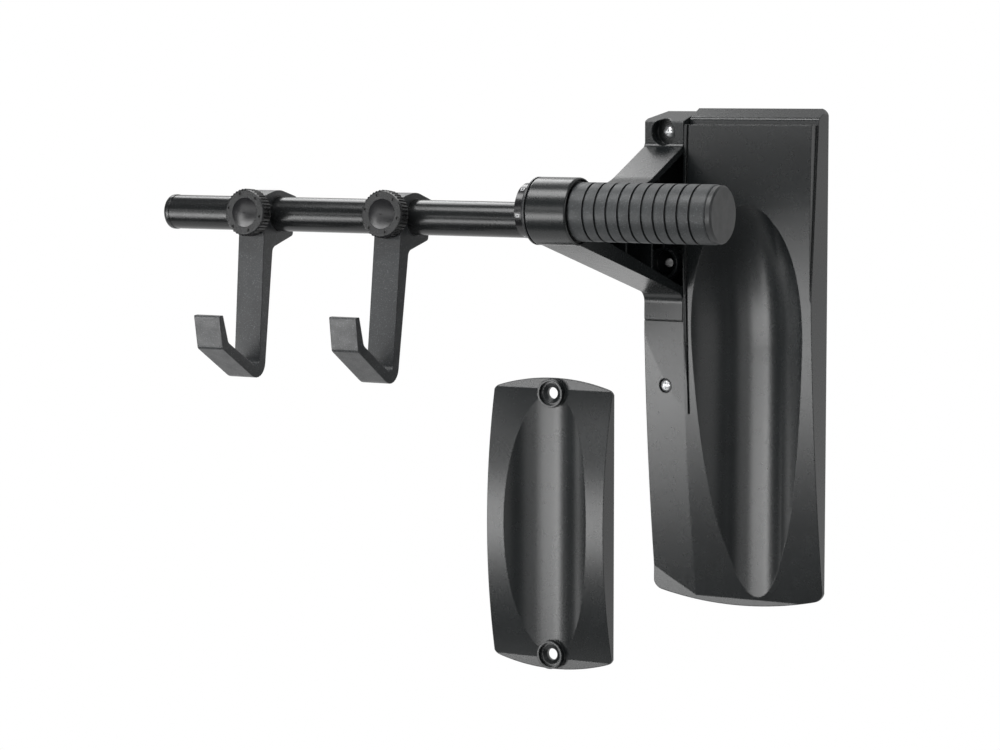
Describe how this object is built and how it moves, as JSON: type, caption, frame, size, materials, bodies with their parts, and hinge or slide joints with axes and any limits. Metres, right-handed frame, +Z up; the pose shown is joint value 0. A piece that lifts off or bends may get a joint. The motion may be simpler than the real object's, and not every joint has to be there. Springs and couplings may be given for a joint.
{
  "type": "wall bike holder",
  "caption": "Wall bike holder: a moulded bracket and tyre panel, a round arm with two sliding hooks, a twist grip that locks the arm, and a separate wheel rest.",
  "frame": {"origin": "middle of the tyre panel's height and width, in the wall plane", "axes": "+X to the right along the wall, -Y out from the wall towards the bicycle, +Z up"},
  "size_m": [0.4546, 0.3059, 0.4289],
  "materials": {
    "moulded_black": "satin, fine texture",
    "collar_black": "blasted",
    "gloss_black": "gloss",
    "coated_steel": "satin powder coat",
    "hook_coat": "speckled grain",
    "knob_black": "satin",
    "grip_rubber": "matte",
    "cap_grey": "matte",
    "zinc": "bright zinc",
    "plain_steel": "plain",
    "brass": "plain"
  },
  "bodies": {
    "wall_side": {"support_bracket": "moulded_black", "tyre_panel": "moulded_black", "wheel_rest": "moulded_black", "wall_screws": "zinc", "panel_screws": "zinc", "collar_ring": "collar_black", "collar_bush": "collar_black"},
    "arm": {"index_hub": "gloss_black", "arm_tube": "coated_steel", "arm_end_cap": "moulded_black", "arm_screw": "plain_steel", "lock_stud": "plain_steel", "stop_nut": "plain_steel"},
    "washer": {"thrust_washer": "moulded_black"},
    "grip": {"grip_core": "moulded_black", "grip_sleeve": "grip_rubber", "grip_end_cap": "cap_grey", "grip_insert": "brass"},
    "slider_1": {"hook_liner_1": "moulded_black"},
    "hook_body_1": {"hook_1": "hook_coat", "hook_insert_1": "brass"},
    "shoe_1": {"clamp_shoe_1": "plain_steel"},
    "knob_body_1": {"knob_1": "knob_black", "clamp_screw_1": "plain_steel", "knob_disc_1": "gloss_black"},
    "slider_2": {"hook_liner_2": "moulded_black"},
    "hook_body_2": {"hook_2": "hook_coat", "hook_insert_2": "brass"},
    "shoe_2": {"clamp_shoe_2": "plain_steel"},
    "knob_body_2": {"knob_2": "knob_black", "clamp_screw_2": "plain_steel", "knob_disc_2": "gloss_black"}
  },
  "joints": [
    {"name": "arm_turn", "type": "hinge", "parent": "wall_side", "child": "arm", "pos_m": [0, -0.182, 0.1135], "axis": [1, 0, 0], "range_deg": [-180, 180]},
    {"name": "grip_draw", "type": "slide", "parent": "arm", "child": "washer", "axis": [1, 0, 0], "range_m": [0, 0.0003125]},
    {"name": "grip_turn", "type": "hinge", "parent": "washer", "child": "grip", "pos_m": [0, -0.182, 0.1135], "axis": [1, 0, 0], "range_deg": [0, 90]},
    {"name": "hook_1_slide", "type": "slide", "parent": "arm", "child": "slider_1", "axis": [1, 0, 0], "range_m": [-0.066, 0.04]},
    {"name": "hook_1_swing", "type": "hinge", "parent": "slider_1", "child": "hook_body_1", "pos_m": [-0.295, -0.182, 0.1069], "axis": [1, 0, 0], "range_deg": [-180, 180]},
    {"name": "clamp_1_draw", "type": "slide", "parent": "hook_body_1", "child": "shoe_1", "axis": [0, -0.9973, 0.0732], "range_m": [0, 0.001]},
    {"name": "knob_1_turn", "type": "hinge", "parent": "shoe_1", "child": "knob_body_1", "pos_m": [-0.295, -0.182, 0.1069], "axis": [0, -0.9973, 0.0732], "range_deg": [0, 360]},
    {"name": "hook_2_slide", "type": "slide", "parent": "arm", "child": "slider_2", "axis": [1, 0, 0], "range_m": [-0.04, 0.07]},
    {"name": "hook_2_swing", "type": "hinge", "parent": "slider_2", "child": "hook_body_2", "pos_m": [-0.1785, -0.182, 0.1069], "axis": [1, 0, 0], "range_deg": [-180, 180]},
    {"name": "clamp_2_draw", "type": "slide", "parent": "hook_body_2", "child": "shoe_2", "axis": [0, -0.9936, 0.1132], "range_m": [0, 0.001]},
    {"name": "knob_2_turn", "type": "hinge", "parent": "shoe_2", "child": "knob_body_2", "pos_m": [-0.1785, -0.182, 0.1069], "axis": [0, -0.9936, 0.1132], "range_deg": [0, 360]}
  ],
  "couplings": [
    {"joint": "grip_turn", "follows": "grip_draw", "rad_per_m": 5026},
    {"joint": "knob_1_turn", "follows": "clamp_1_draw", "rad_per_m": 6282.6},
    {"joint": "knob_2_turn", "follows": "clamp_2_draw", "rad_per_m": 6282.6}
  ]
}
